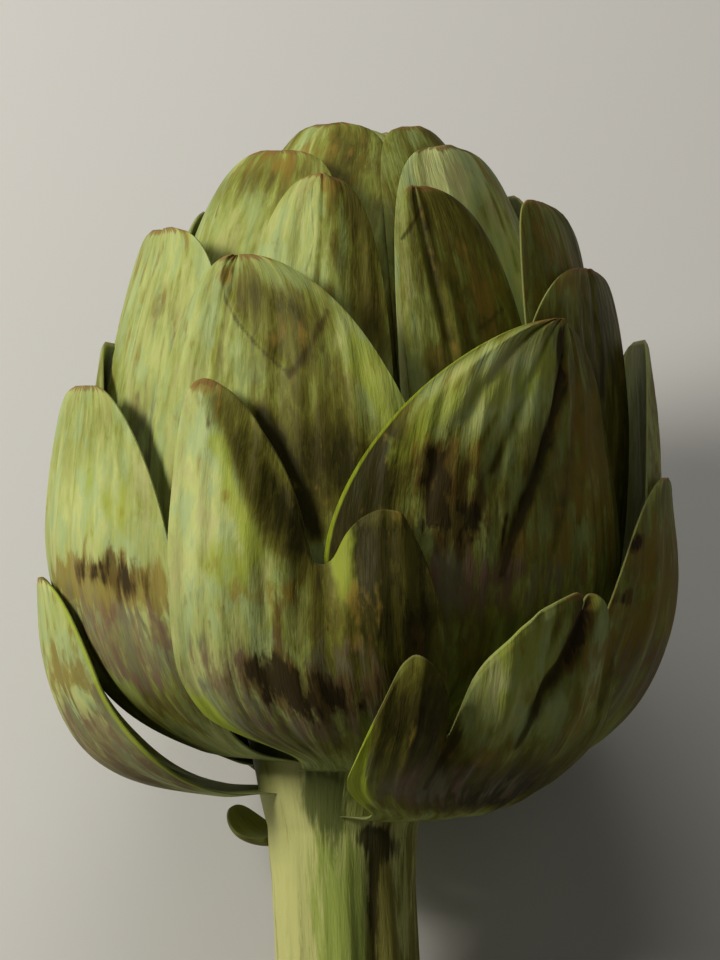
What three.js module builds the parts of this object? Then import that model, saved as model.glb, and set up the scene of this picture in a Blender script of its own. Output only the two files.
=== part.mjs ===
// Globe artichoke, cut with a short stem and laid on its side.
// Millimetres, +Z up. Every leaf scale (bract) lies on a nested surface of revolution round the
// head's axis: its layer number says how many leaf spacings it lies outside the heart.
// Head frame: h runs up the axis from the stem joint, azimuth 0 is the front (the side turned up),
// +90 is the right side and 180 the side it rests on.
import * as THREE from "three";

// ---------------------------------------------------------------- driving dimensions
const STEM_RADIUS = 11.4;
const STEM_LENGTH = 47.4; // from the stem joint (h = 0) down to the cut
const NECK_SHIFT = -2.5; // sideways drift of the neck, at the stem joint
const STEM_SHIFT = -1.6; // and of the stem's lower end
const TILT = 27; // degrees between the head's axis and the floor
const CORE_RADIUS = 26.0; // innermost layer at the waist
const LAYER_STEP = 1.65; // from one layer to the next
const WAIST_H = 48.0; // height of the widest ring
const LAST_LAYER = 16;
const FLOOR_CUT = 0.5; // the stem's lowest edge is pressed flat by this much
const LEAF_THICK = 0.95; // middle of an innermost leaf
const LEAF_THICKEN = 0.03; // and this much more for each layer outwards
const EDGE_THICK = 0.75; // margins and tips
const TIP_POWER = 1.67; // how a leaf's margins close towards its tip
const TIP_END = 0.998; // share of the spine at the blunt tip
const LEVEL_PART = 0.42; // share of a lobed leaf's spine with level grid rows
const GAP = 0.5; // clearance between the receptacle and the leaves' bases

// ---------------------------------------------------------------- small helpers
const rad = (a) => (a * Math.PI) / 180;
const clamp = (x, a = 0, b = 1) => Math.min(Math.max(x, a), b);
const smooth = (x, a = 0, b = 1) => {
  const t = clamp((x - a) / (b - a));
  return t * t * (3 - 2 * t);
};

// value at q of the smooth monotone curve through the points [x, y]
function through(points, q) {
  const n = points.length - 1;
  const slope = [];
  for (let i = 0; i < n; i++)
    slope.push((points[i + 1][1] - points[i][1]) / (points[i + 1][0] - points[i][0]));
  const tangent = [slope[0]];
  for (let i = 1; i < n; i++) {
    const before = points[i][0] - points[i - 1][0];
    const after = points[i + 1][0] - points[i][0];
    const w1 = 2 * after + before;
    const w2 = after + 2 * before;
    tangent.push(slope[i - 1] * slope[i] > 0 ? (w1 + w2) / (w1 / slope[i - 1] + w2 / slope[i]) : 0);
  }
  tangent.push(slope[n - 1]);
  let i = 0;
  while (i < n - 1 && q > points[i + 1][0]) i++;
  const step = points[i + 1][0] - points[i][0];
  const t = (q - points[i][0]) / step;
  return (
    (1 + 2 * t) * (1 - t) ** 2 * points[i][1] +
    t * (1 - t) ** 2 * step * tangent[i] +
    t * t * (3 - 2 * t) * points[i + 1][1] +
    t * t * (t - 1) * step * tangent[i + 1]
  );
}

// ---------------------------------------------------------------- the nested layers
// ring [radius, height] where a leaf of this layer leaves the receptacle
function leafRoot(layer) {
  const t = Math.max(layer, 0) / LAST_LAYER;
  const radius =
    12.6 +
    14.2 * Math.max(1 - t ** 1.1, 0) ** 0.95 -
    1.8 * (1 - Math.min(t / 0.12, 1)) ** 2 +
    Math.min(layer, 0) * LAYER_STEP;
  return [radius, 34 - 26 * t - 7 * t ** 5];
}

// the leaf's spine seen from the side: points [radius, h], their outward normals and the
// share of the spine's length reached at each
function spine(leaf) {
  const layer = leaf.layer;
  const t = Math.max(layer, 0) / LAST_LAYER;
  const root = leafRoot(leaf.seat ?? layer);
  const waist = [CORE_RADIUS + LAYER_STEP * layer, WAIST_H];
  const leave = rad(14 + 76 * Math.max(1 - t, 0) ** 8 - (leaf.droop ?? 0));
  const reach = Math.hypot(waist[0] - root[0], waist[1] - root[1]);
  const first = Math.min(
    (leaf.belly ?? 0.45) * reach,
    (0.85 * (waist[0] - root[0])) / Math.max(Math.cos(leave), 0.05),
  );
  const control = leaf.path ?? [
    root,
    [root[0] + first * Math.cos(leave), root[1] + first * Math.sin(leave)],
    [waist[0], WAIST_H - (leaf.upright ?? 0.6) * (WAIST_H - root[1])],
    waist,
  ];
  let line = [];
  for (let k = 0; k <= 60; k++) {
    const q = k / 60;
    line.push(
      [0, 1].map(
        (c) =>
          (1 - q) ** 3 * control[0][c] +
          3 * (1 - q) ** 2 * q * control[1][c] +
          3 * (1 - q) * q * q * control[2][c] +
          q ** 3 * control[3][c],
      ),
    );
  }
  if (!leaf.path) {
    const rise = 67 + 1.75 * layer + 0.22 * Math.max(layer, 0) ** 2;
    for (let k = 1; k <= 86; k++)
      line.push([waist[0] * Math.cos(rad(k)), WAIST_H + rise * Math.sin(rad(k))]);
    let n = 1;
    line.forEach((point, k) => {
      if (point[1] < leaf.tip) n = k + 1;
    });
    n = Math.min(n, line.length - 1);
    const share = clamp((leaf.tip - line[n - 1][1]) / (line[n][1] - line[n - 1][1]), 0.02, 1);
    const end = [0, 1].map((c) => line[n - 1][c] + (line[n][c] - line[n - 1][c]) * share);
    line = [...line.slice(0, n), end];
  }
  const length = [0];
  for (let k = 1; k < line.length; k++)
    length.push(length[k - 1] + Math.hypot(line[k][0] - line[k - 1][0], line[k][1] - line[k - 1][1]));
  const total = length[length.length - 1];
  const normal = line.map((_, k) => {
    const a = line[Math.max(k - 1, 0)];
    const b = line[Math.min(k + 1, line.length - 1)];
    const size = Math.hypot(b[0] - a[0], b[1] - a[1]);
    return [(b[1] - a[1]) / size, -(b[0] - a[0]) / size];
  });
  return { line, normal, share: length.map((s) => s / total) };
}

function along(curve, p) {
  let k = 0;
  while (k < curve.share.length - 2 && p > curve.share[k + 1]) k++;
  const t = (p - curve.share[k]) / (curve.share[k + 1] - curve.share[k]);
  const mix = (list, c) => list[k][c] + (list[k + 1][c] - list[k][c]) * t;
  return [mix(curve.line, 0), mix(curve.line, 1), mix(curve.normal, 0), mix(curve.normal, 1)];
}

// side position of one margin at share p of the spine: full width low down, closing at the tip
function margin(leaf, p, side) {
  const peak = leaf.peak ?? 0;
  const shoulder = (side > 0 ? leaf.shoulderR : leaf.shoulderL) ?? 0.5;
  const round = (side > 0 ? leaf.roundR : leaf.roundL) ?? leaf.round ?? 2.0;
  const w = (1 - clamp((p - shoulder) / (1 - shoulder)) ** TIP_POWER) ** (1 / round);
  return peak + (side - peak) * w;
}

// share p of the spine and side position u of the grid point (a, v), a from -1 to 1, v from 0 to 1
function gridPlace(leaf, a, v) {
  if (leaf.lobes) {
    // level rows low down, then rows that fan out to the lobes
    const reach = through(leaf.lobes, a);
    const p = v < 0.5 ? 2 * v * LEVEL_PART : LEVEL_PART + (2 * v - 1) * (reach - LEVEL_PART);
    return [p, a];
  }
  const p = TIP_END * (v - 0.055 * Math.sin(2 * Math.PI * v)); // closer rows at both ends
  const [left, right] = [margin(leaf, p, -1), margin(leaf, p, 1)];
  return [p, left + ((right - left) * (a + 1)) / 2];
}

// the two points (outer face, inner face) of a leaf at its own grid point (a, v)
function leafPoint(leaf, curve, a, v) {
  const [p, u] = gridPlace(leaf, a, v);
  const [radius, h, nr, nh] = along(curve, p);
  const base = leaf.base ?? 0.5;
  const half = leaf.half * (base + (1 - base) * smooth(p, 0, leaf.wide ?? 0.5));
  const turn = (leaf.twist ?? 0) * (1 - smooth(p, 0, 0.5));
  const azimuth = rad(leaf.azimuth + turn) + (u * half) / Math.max(radius, 10);
  const lean = u < 0 ? leaf.leanL : leaf.leanR; // how far that margin stands off its layer
  const roll =
    (leaf.roll ?? 0) * Math.abs(u) ** 2.5 * smooth(p, 0.15, 0.6) +
    (lean ?? 0) * smooth(Math.abs(u)) * smooth(p, 0.3, 0.75) -
    (leaf.curl ?? 0) * smooth(p, 0.6, 1) ** 1.5;
  const middle = leaf.thick ?? LEAF_THICK + LEAF_THICKEN * leaf.layer;
  const root = leaf.path ? middle : Math.min(middle, 0.75 + 0.02 * Math.max(leaf.layer, 0));
  const full = root + (middle - root) * smooth(p, 0.12, 0.4);
  const thick = EDGE_THICK + (full - EDGE_THICK) * (1 - a * a) * (1 - smooth(v, 0.6, 1));
  return [roll + thick, roll].map((off) => {
    const r = radius + nr * off;
    return [r * Math.sin(azimuth), -r * Math.cos(azimuth), h + nh * off];
  });
}

// ---------------------------------------------------------------- laying it down
const SIN = Math.sin(rad(TILT));
const COS = Math.cos(rad(TILT));
const FLOOR = -STEM_LENGTH * SIN - STEM_RADIUS * COS + FLOOR_CUT;

// sideways drift at height h: none in the head, most at the joint, less again down the stem
const drift = (h) => NECK_SHIFT * smooth(-h, -22, -1) + (STEM_SHIFT - NECK_SHIFT) * smooth(-h, 2, 26);

// head frame to the laid frame: the axis points along +Y and up by TILT, the front faces up
function laid([x, y, h], pressed) {
  const z = h * SIN - y * COS - FLOOR;
  return [x + drift(h), h * COS + y * SIN, pressed ? Math.max(z, 0) : z];
}

// ---------------------------------------------------------------- closed meshes from grids
const colours = {
  leaf: 0x7d8a45,
  stem: 0x9aa05a,
};
const materials = Object.fromEntries(
  Object.entries(colours).map(([name, color]) => [
    name,
    new THREE.MeshStandardMaterial({ name, color, roughness: 0.6 }),
  ]),
);

function solid(name, points, faces, material) {
  const geometry = new THREE.BufferGeometry();
  geometry.setAttribute("position", new THREE.Float32BufferAttribute(points.flat(), 3));
  geometry.setIndex(faces.flat());
  const flat = geometry.toNonIndexed();
  flat.computeVertexNormals();
  const mesh = new THREE.Mesh(flat, materials[material]);
  mesh.name = name;
  return mesh;
}

function leafMesh(leaf) {
  const nu = leaf.lobes ? leaf.lobes.length - 1 : (leaf.across ?? (leaf.layer > 6.5 ? 8 : 6));
  const nv = leaf.rows ?? 10;
  const curve = spine(leaf);
  const outer = [];
  const inner = [];
  for (let i = 0; i <= nu; i++)
    for (let j = 0; j <= nv; j++) {
      const across = leaf.lobes ? leaf.lobes[i][0] : -1 + (2 * i) / nu; // columns at the split's corners
      const [a, b] = leafPoint(leaf, curve, across, j / nv);
      outer.push(laid(a, leaf.pressed));
      inner.push(laid(b, false));
    }
  const at = (i, j) => i * (nv + 1) + j;
  const count = outer.length;
  const faces = [];
  for (let i = 0; i < nu; i++)
    for (let j = 0; j < nv; j++) {
      const [a, b, c, d] = [at(i, j), at(i + 1, j), at(i + 1, j + 1), at(i, j + 1)];
      faces.push([a, b, c], [a, c, d]);
      faces.push([a + count, c + count, b + count], [a + count, d + count, c + count]);
    }
  const rim = [];
  for (let i = 0; i < nu; i++) rim.push(at(i, 0));
  for (let j = 0; j < nv; j++) rim.push(at(nu, j));
  for (let i = nu; i > 0; i--) rim.push(at(i, nv));
  for (let j = nv; j > 0; j--) rim.push(at(0, j));
  rim.forEach((a, k) => {
    const b = rim[(k + 1) % rim.length];
    faces.push([b, a, a + count], [b, a + count, b + count]);
  });
  return solid("bract_" + leaf.name, [...outer, ...inner], faces, "leaf");
}

// closed solid from rings of points, ends closed with a fan
function ringSolid(name, rings, lowEnd, highEnd, material) {
  const n = rings[0].length;
  const points = [...rings.flat(), lowEnd, highEnd];
  const low = points.length - 2;
  const high = points.length - 1;
  const faces = [];
  for (let k = 0; k < rings.length - 1; k++)
    for (let j = 0; j < n; j++) {
      const [a, b] = [k * n + j, k * n + ((j + 1) % n)];
      faces.push([a, b, b + n], [a, b + n, a + n]);
    }
  const top = (rings.length - 1) * n;
  for (let j = 0; j < n; j++) {
    const next = (j + 1) % n;
    faces.push([low, next, j], [high, top + j, top + next]);
  }
  return solid(name, points, faces, material);
}

// ---------------------------------------------------------------- stem and receptacle
function stemProfile() {
  const rows = [
    [STEM_RADIUS - 0.5, -STEM_LENGTH],
    [STEM_RADIUS, -STEM_LENGTH + 0.6],
    [STEM_RADIUS - 0.1, -STEM_LENGTH * 0.66],
    [STEM_RADIUS, -STEM_LENGTH * 0.33],
    [STEM_RADIUS + 0.1, -8],
    [STEM_RADIUS + 0.3, -5.5],
    [STEM_RADIUS + 0.5, -3],
  ];
  for (const layer of [16, 15, 13.5, 12, 10, 8, 6, 4, 2, 1, 0]) {
    const [r, h] = leafRoot(layer);
    rows.push([r - GAP, h - GAP * 0.4]);
  }
  return rows;
}

function stemMesh() {
  const n = 32;
  const rings = stemProfile().map(([r, h]) => {
    const low = smooth(-h, -10, 30);
    const ring = [];
    for (let j = 0; j < n; j++) {
      const a = (2 * Math.PI * j) / n;
      const rib = 0.3 * Math.cos(8 * a + 0.6) * low;
      const p = [
        (r + rib) * Math.sin(a),
        -(r + rib) * Math.cos(a),
        h,
      ];
      ring.push(laid(p, true));
    }
    return ring;
  });
  const bottom = laid([0, 0, -STEM_LENGTH], false);
  const top = laid([0, 0, rings.length ? leafRoot(0)[1] - GAP * 0.4 : 0], false);
  return ringSolid("stem", rings, bottom, top, "stem");
}

// ---------------------------------------------------------------- heart
// the tight bud inside: a solid dome whose small folded tips swirl round the top
function heartMesh() {
  const n = 30;
  const floor = leafRoot(0)[1] + 0.15;
  const inset = 1.7;
  const profile = [];
  for (const a of [0, 9, 18, 27, 36, 45, 54, 62, 69, 75, 80, 84])
    profile.push([
      (CORE_RADIUS - inset) * Math.cos(rad(a)),
      WAIST_H + 65.2 * Math.sin(rad(a)),
    ]);
  profile.unshift([CORE_RADIUS - inset - 1.2, floor], [CORE_RADIUS - inset - 0.4, floor + 5]);
  const rings = profile.map(([r, h]) => {
    const fold = 0.9 * smooth(h, 85, 108);
    const ring = [];
    for (let j = 0; j < n; j++) {
      const a = (2 * Math.PI * j) / n;
      const rr = r - fold * (0.5 + 0.5 * Math.cos(5 * a + 0.09 * h));
      ring.push(laid([rr * Math.sin(a), -rr * Math.cos(a), h], false));
    }
    return ring;
  });
  return ringSolid("heart_bud", rings, laid([0, 0, floor], false), laid([0, 0, 113.6], false), "leaf");
}

// ---------------------------------------------------------------- the leaves
// a leaf: name, azimuth (degrees), tip (h of its tip), half (half width), layer, and its own shape
const leaf = (name, azimuth, tip, half, layer, shape = {}) => ({
  name, azimuth, tip, half, layer, ...shape,
});
const ring = (name, tip, half, places, shape) =>
  places.map(([azimuth, layer], k) => leaf(name + "_" + (k + 1), azimuth, tip, half, layer, shape));

const FRONT_SPLIT = [
  [-1, 0.7], [-0.96, 0.91], [-0.88, 0.98], [-0.77, 1], [-0.64, 0.985], [-0.48, 0.95],
  [-0.27, 0.878], [-0.06, 0.775], [0.03, 0.69], [0.08, 0.65], [0.14, 0.642], [0.21, 0.65],
  [0.33, 0.704], [0.45, 0.735], [0.6, 0.75], [0.72, 0.745], [0.81, 0.71], [0.9, 0.66], [1, 0.55],
];
const RIGHT_SPLIT = [
  [-1, 0.44], [-0.94, 0.59], [-0.86, 0.71], [-0.75, 0.83], [-0.68, 0.85], [-0.58, 0.826],
  [-0.48, 0.77], [-0.41, 0.71], [-0.35, 0.58], [-0.31, 0.7], [-0.27, 0.78], [-0.13, 0.865],
  [0.13, 0.95], [0.35, 0.995], [0.5, 1], [0.63, 1], [0.74, 0.93], [0.85, 0.84], [1, 0.64],
];

const leaves = [
  // the loose outer leaves
  leaf("low_left", -85, 41, 19, 15.2, {
    seat: 14.5, droop: 8.5, belly: 0.7, upright: 0.7, base: 0.45, round: 2.2, shoulderL: 0.6, shoulderR: 0.6,
    roll: -2.6, leanR: -1,
  }),
  leaf("low_right", 29, 39.5, 24.5, 15.5, {
    droop: 7, belly: 0.6, base: 0.5, wide: 0.75, twist: 22, thick: 2.0, lobes: RIGHT_SPLIT,
  }),
  leaf("front_split", -10.5, 72, 21.5, 13.9, {
    seat: 13, twist: 6, base: 0.5, wide: 0.45, thick: 2.2, curl: 2, lobes: FRONT_SPLIT,
  }),
  leaf("right_low", 77, 57, 25, 14.5, { droop: 4, belly: 0.43, thick: 2.2, round: 2.4, base: 0.33 }),
  leaf("rest", 180, 46, 25, 15.3, { thick: 2.4, round: 2.2, base: 0.36, across: 10, rows: 12, pressed: true }),
  ...ring("back_low", 47, 22, [[139, 13.85], [-142, 13.55]], { round: 2.2, base: 0.3 }),
  // the leaves of the waist
  leaf("left_big", -66, 71.5, 25, 12.5, {
    peak: -0.1, thick: 2.0, base: 0.4, curl: 0.6, roundL: 3.2, shoulderL: 0.62, leanL: 2.9,
  }),
  leaf("right_back", 97, 79.3, 22, 13.0, { round: 3 }),
  leaf("left_back", -98, 79, 24, 10.05, { round: 2.6 }),
  ...ring("back_second", 66, 25, [[150, 11.15], [-170, 12.35], [-118, 11.2]], { round: 2.2 }),
  leaf("right_big", 32.5, 81.5, 29.5, 10.45, {
    peak: 0.42, shoulderL: 0.53, shoulderR: 0.62, roundL: 1.75, thick: 1.7,
  }),
  leaf("right_mid", 70, 89.8, 26, 9.0, {
    roundL: 2.6, roundR: 2.7, shoulderL: 0.55, shoulderR: 0.7, curl: -0.8, leanR: 4.2,
  }),
  leaf("centre", -17, 91.5, 25, 9.25, {
    peak: -0.35, roundL: 2.3, roundR: 1.9, shoulderR: 0.45, curl: 1.6,
  }),
  leaf("left_mid", -71, 96.5, 25, 8.1, {
    roundL: 2.6, roundR: 3.2, shoulderL: 0.6, shoulderR: 0.7, curl: 1, leanL: 2.4,
  }),
  ...ring("back_third", 80, 26, [[155, 9.95], [-145, 8.9]], { round: 2.2 }),
  ...ring("back_fourth", 93, 24, [[125, 6.55], [178, 7.65], [-128, 6.45]], { round: 2.2 }),
  // the crown
  leaf("crown_far_right", 81, 99.6, 23, 7.6, {
    peak: -0.7, roundL: 2.6, roundR: 2, shoulderL: 0.75, shoulderR: 0.5, leanR: 2, curl: -1.8,
  }),
  leaf("crown_right", 36, 102.2, 13, 5.1, { peak: -0.55, round: 2.4, shoulderL: 0.7 }),
  leaf("crown_left", -14, 104, 13.5, 4.3, { round: 2.4 }),
  leaf("crown_inner_right", 50, 109.3, 20.5, 3.8, {
    peak: -0.15, roundL: 2.4, roundR: 3, shoulderR: 0.65, leanR: 1.6,
  }),
  leaf("crown_far_left", -45, 108.3, 20, 3.25, {
    roundL: 2.6, roundR: 3.2, shoulderR: 0.55, leanL: 1.9,
  }),
  ...ring("back_crown", 103, 20, [[112, 5.4], [160, 4.3], [-150, 5.4]], { round: 2.4 }),
  leaf("back_crown_4", -102, 100, 20, 4.3, { round: 2.4, leanR: 1.9 }),
  ...ring("back_inner", 109, 16, [[106, 2.1], [145, 3.2], [-165, 2.1], [-120, 3.2], [-80, 1.9]], { round: 2.4 }),
  leaf("top_left", -22, 113, 17, 0.85, { peak: -0.08, roundL: 3.2, roundR: 2.8 }),
  leaf("top_right", 41, 112.4, 13.5, 2.0, { round: 2.8 }),
  ...ring("back_top", 112.5, 15, [[85, 0.65], [135, -0.4], [-170, 0.65], [-110, -0.4]], { round: 2.6 }),
  // the small scale on the stem joint
  leaf("stem_scale", -125, 3.1, 5.5, LAST_LAYER, {
    path: [[12.6, -1.5], [16, -2.5], [20, -0.6], [21.4, 3.1]], thick: 1.6, base: 0.6, rows: 6,
  }),
];

// ---------------------------------------------------------------- assembly
const artichoke = new THREE.Group();
artichoke.name = "artichoke";
artichoke.add(stemMesh(), heartMesh(), ...leaves.map(leafMesh));

// origin at the middle of the bounding box, on the floor
const box = new THREE.Box3().setFromObject(artichoke, true);
const shift = new THREE.Matrix4().makeTranslation(
  -(box.min.x + box.max.x) / 2,
  -(box.min.y + box.max.y) / 2,
  -box.min.z,
);
artichoke.children.forEach((mesh) => mesh.geometry.applyMatrix4(shift));

export default artichoke;
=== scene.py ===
# %% [markdown]
# # A globe artichoke, laid on its side
#
# An artichoke is the closed bud of a thistle. Every green scale on it is a bract: a stiff blade that
# leaves the fleshy base of the head, bellies outwards and closes over the bud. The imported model
# already holds each bract as a plain blade. This lesson replaces each one with a fine surface worked
# out from the same formulas, then gives it ribs, thin margins, a dry tip and a streaked skin.

import bpy
import numpy as np
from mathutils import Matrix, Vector


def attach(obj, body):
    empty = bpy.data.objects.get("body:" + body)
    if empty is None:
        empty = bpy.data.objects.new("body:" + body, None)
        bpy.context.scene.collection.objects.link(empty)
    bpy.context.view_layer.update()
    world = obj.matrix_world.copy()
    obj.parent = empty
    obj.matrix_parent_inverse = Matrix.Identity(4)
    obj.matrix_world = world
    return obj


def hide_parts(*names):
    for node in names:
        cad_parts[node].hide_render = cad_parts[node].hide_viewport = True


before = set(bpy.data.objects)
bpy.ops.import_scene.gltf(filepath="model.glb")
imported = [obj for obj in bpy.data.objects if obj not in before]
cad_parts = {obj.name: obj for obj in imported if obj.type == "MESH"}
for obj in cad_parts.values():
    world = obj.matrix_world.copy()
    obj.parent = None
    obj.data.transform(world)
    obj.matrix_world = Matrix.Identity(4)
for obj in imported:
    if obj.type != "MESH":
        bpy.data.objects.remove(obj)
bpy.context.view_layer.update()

# %% [markdown]
# ## Two frames
#
# It is easiest to think of the head as standing up: h runs up its axis from the stem joint, and an
# azimuth goes round it, with 0 at the front and +90 at the right. The real head lies down, because it
# can't stand on a cut stem. So every point is worked out in the head's own frame, in millimetres, and
# then laid down by one turn and one shift.

# %% Sizes and the laid frame
# All lengths here are in mm, and turned() makes them metres.
STEM_RADIUS = 11.4
STEM_LENGTH = 47.4
NECK_SHIFT = -2.5  # sideways drift of the neck, at the stem joint
STEM_SHIFT = -1.6  # and of the stem's lower end
TILT = np.radians(27.0)  # between the head's axis and the floor
WAIST_H = 48.0  # height of the widest place
CORE_RADIUS = 26.0  # of the innermost layer there
LAYER_STEP = 1.65  # and from each layer to the next
LAST_LAYER = 16
FLOOR_CUT = 0.5  # how far the cut stem's rim is pressed flat
SHIFT = np.array([0.243, -28.816])  # puts the bounding box's middle over the origin

FLOOR = -STEM_LENGTH * np.sin(TILT) - STEM_RADIUS * np.cos(TILT) + FLOOR_CUT


def smooth(x, low=0.0, high=1.0):
    """0 below low, 1 above high, and an S-shaped cubic between."""
    t = np.clip((x - low) / (high - low), 0, 1)
    return t * t * (3 - 2 * t)


def drift(h):
    """Sideways drift at height h: none in the head, most at the joint, less again down the stem."""
    return NECK_SHIFT * smooth(-h, -22, -1) + (STEM_SHIFT - NECK_SHIFT) * smooth(-h, 2, 26)


def turned(x, y, h):
    """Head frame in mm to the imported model's frame in m: the axis h leans from upright down to TILT
    above the floor, and the front side turns up."""
    across = h * np.cos(TILT) + y * np.sin(TILT) + SHIFT[1]
    up = h * np.sin(TILT) - y * np.cos(TILT) - FLOOR
    return np.stack([x + SHIFT[0], across, up], axis=-1) / 1000


def laid(points):
    """As turned(), for points of the artichoke: x drifts a little, and nothing goes under the floor."""
    x, y, h = points[..., 0], points[..., 1], points[..., 2]
    place = turned(x + drift(h), y, h)
    place[..., 2] = np.maximum(place[..., 2], 0.0)
    return place


print("floor of the head frame:", round(FLOOR, 2), "mm")

# %% [markdown]
# ## Camera first
#
# The camera looks straight at the head's front, so once the head is laid down it looks down on it. It
# is placed in the head frame and laid down with the rest. A long lens keeps the bracts' proportions.

# %% Camera
CAMERA_DISTANCE = 600.0
AIM = np.array([0.3, 0.0, 56.5])
SENSOR_WIDTH = 36
LENS = 139.5

camera_data = bpy.data.cameras.new("camera")
camera_data.sensor_width = SENSOR_WIDTH
camera_data.lens = LENS


def add_object(name, data):
    """An object in the scene for a camera, lamp or mesh."""
    thing = bpy.data.objects.new(name, data)
    bpy.context.scene.collection.objects.link(thing)
    return thing


def look(thing, spot, target):
    """Put a camera or lamp at spot and turn it towards target, both in the head frame."""
    thing.location = Vector(turned(*spot))
    way = Vector(turned(*target)) - thing.location
    thing.rotation_euler = way.to_track_quat("-Z", "Y").to_euler()


camera = add_object("camera", camera_data)
look(camera, AIM + np.array([0, -CAMERA_DISTANCE, 0]), AIM)
bpy.context.scene.camera = camera
print("camera at", [round(c, 3) for c in camera.location])

# %% [markdown]
# ## Nested layers
#
# Each bract lies on a surface of revolution, and the surfaces nest like onion layers. A layer number
# says how far out a bract lies. Its spine starts on the receptacle, swings out to the waist along a
# Bezier curve, and goes on up an ellipse that closes over the bud.

# %% Curves that shape a layer
ROOT_RADIUS, ROOT_SPREAD = 12.6, 14.2  # the outermost root ring, and how much wider the innermost is
ROOT_TOP, ROOT_DROP = 34.0, 26.0  # the innermost ring's height, and how far the rings come down
LEAVE_ANGLE, LEAVE_STEEPER = 14, 76  # degrees above level: outermost layer, and what the core adds
BEZIER_POINTS = 61
DOME_RISE = (67.0, 1.75, 0.22)  # of the ellipse over the waist: plain, times layer, times its square


def through(points, q):
    """Smooth curve through points [x, y] that doesn't overshoot: a cubic on each stretch, whose end
    slopes are weighted harmonic means of the neighbouring slopes."""
    x, y = np.array(points, float).T
    step = np.diff(x)
    slope = np.diff(y) / step
    w1, w2 = 2 * step[1:] + step[:-1], step[1:] + 2 * step[:-1]
    same = slope[:-1] * slope[1:] > 0
    safe = np.where(same, slope[:-1], 1), np.where(same, slope[1:], 1)
    middle = np.where(same, (w1 + w2) / (w1 / safe[0] + w2 / safe[1]), 0)
    tangent = np.concatenate([slope[:1], middle, slope[-1:]])
    i = np.clip(np.searchsorted(x, q) - 1, 0, len(step) - 1)
    t = (q - x[i]) / step[i]
    return (
        (1 + 2 * t) * (1 - t) ** 2 * y[i]
        + t * (1 - t) ** 2 * step[i] * tangent[i]
        + t * t * (3 - 2 * t) * y[i + 1]
        + t * t * (t - 1) * step[i] * tangent[i + 1]
    )


def leaf_root(layer):
    """Ring (radius, height) where a layer leaves the receptacle: lower and narrower further out."""
    t = np.maximum(layer, 0) / LAST_LAYER
    radius = (
        ROOT_RADIUS
        + ROOT_SPREAD * np.maximum(1 - t**1.1, 0) ** 0.95
        - 1.8 * (1 - np.minimum(t / 0.12, 1)) ** 2
        + np.minimum(layer, 0) * LAYER_STEP
    )
    return np.array([radius, ROOT_TOP - ROOT_DROP * t - 7 * t**5])


def spine(leaf):
    """Points (radius, h) down a bract's middle, their outward normals, and the share of the length
    reached at each: a cubic Bezier from the root to the waist, then an ellipse up to the tip. Its first
    handle, whose length is given by belly, stays short of the waist."""
    layer = leaf["layer"]
    t = max(layer, 0) / LAST_LAYER
    root = leaf_root(leaf.get("seat", layer))
    waist = np.array([CORE_RADIUS + LAYER_STEP * layer, WAIST_H])
    leave = np.radians(LEAVE_ANGLE + LEAVE_STEEPER * (1 - t) ** 8 - leaf.get("droop", 0))
    first = leaf.get("belly", 0.45) * np.hypot(*(waist - root))
    first = min(first, 0.85 * (waist[0] - root[0]) / max(np.cos(leave), 0.05))
    control = [
        root,
        root + first * np.array([np.cos(leave), np.sin(leave)]),
        np.array([waist[0], WAIST_H - leaf.get("upright", 0.6) * (WAIST_H - root[1])]),
        waist,
    ]
    control = np.array(leaf.get("path", control), float)
    q = np.linspace(0, 1, BEZIER_POINTS)[:, None]
    line = (
        (1 - q) ** 3 * control[0]
        + 3 * (1 - q) ** 2 * q * control[1]
        + 3 * (1 - q) * q * q * control[2]
        + q**3 * control[3]
    )
    if "path" not in leaf:
        rise = DOME_RISE[0] + DOME_RISE[1] * layer + DOME_RISE[2] * max(layer, 0) ** 2
        angle = np.radians(np.arange(1, 87))
        arc = np.stack([waist[0] * np.cos(angle), WAIST_H + rise * np.sin(angle)], axis=1)
        line = np.concatenate([line, arc])
        n = int(np.flatnonzero(line[:, 1] < leaf["tip"])[-1]) + 1
        share = np.clip((leaf["tip"] - line[n - 1, 1]) / (line[n, 1] - line[n - 1, 1]), 0.02, 1)
        line = np.concatenate([line[:n], [line[n - 1] + (line[n] - line[n - 1]) * share]])
    length = np.concatenate([[0], np.cumsum(np.hypot(*np.diff(line, axis=0).T))])
    ahead = np.concatenate([line[1:], line[-1:]]) - np.concatenate([line[:1], line[:-1]])
    ahead /= np.hypot(*ahead.T)[:, None]
    normal = np.stack([ahead[:, 1], -ahead[:, 0]], axis=1)
    return line, normal, length / length[-1], length[-1]


# %% [markdown]
# ## A blade on its layer
#
# A bract is a grid of two parameters: a goes from its left margin (-1) to its right (+1), and v from
# the base (0) to the tip (1). The margins run side by side low down and close towards the tip. A few
# old outer bracts have split into two lobes, and there the rows fan out to follow the torn outline.

# %% Outline of a blade
TIP_POWER = 1.67  # the higher, the later the margins close in
TIP_END = 0.998  # share of the spine where the last row lies, so that it keeps a width
LEVEL_PART = 0.42  # of a split bract, the share below which its rows run level
EDGE_THICK = 0.75  # mm, at the margins and the tip


def margin(leaf, p, side):
    """Side position of one margin at share p of the spine: the full width up to the shoulder, then a
    power curve that closes on the peak."""
    peak = leaf.get("peak", 0)
    shoulder = leaf.get("shoulderR" if side > 0 else "shoulderL", 0.5)
    power = leaf.get("roundR" if side > 0 else "roundL", leaf.get("round", 2.0))
    w = (1 - np.clip((p - shoulder) / (1 - shoulder), 0, 1) ** TIP_POWER) ** (1 / power)
    return peak + (side - peak) * w


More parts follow.
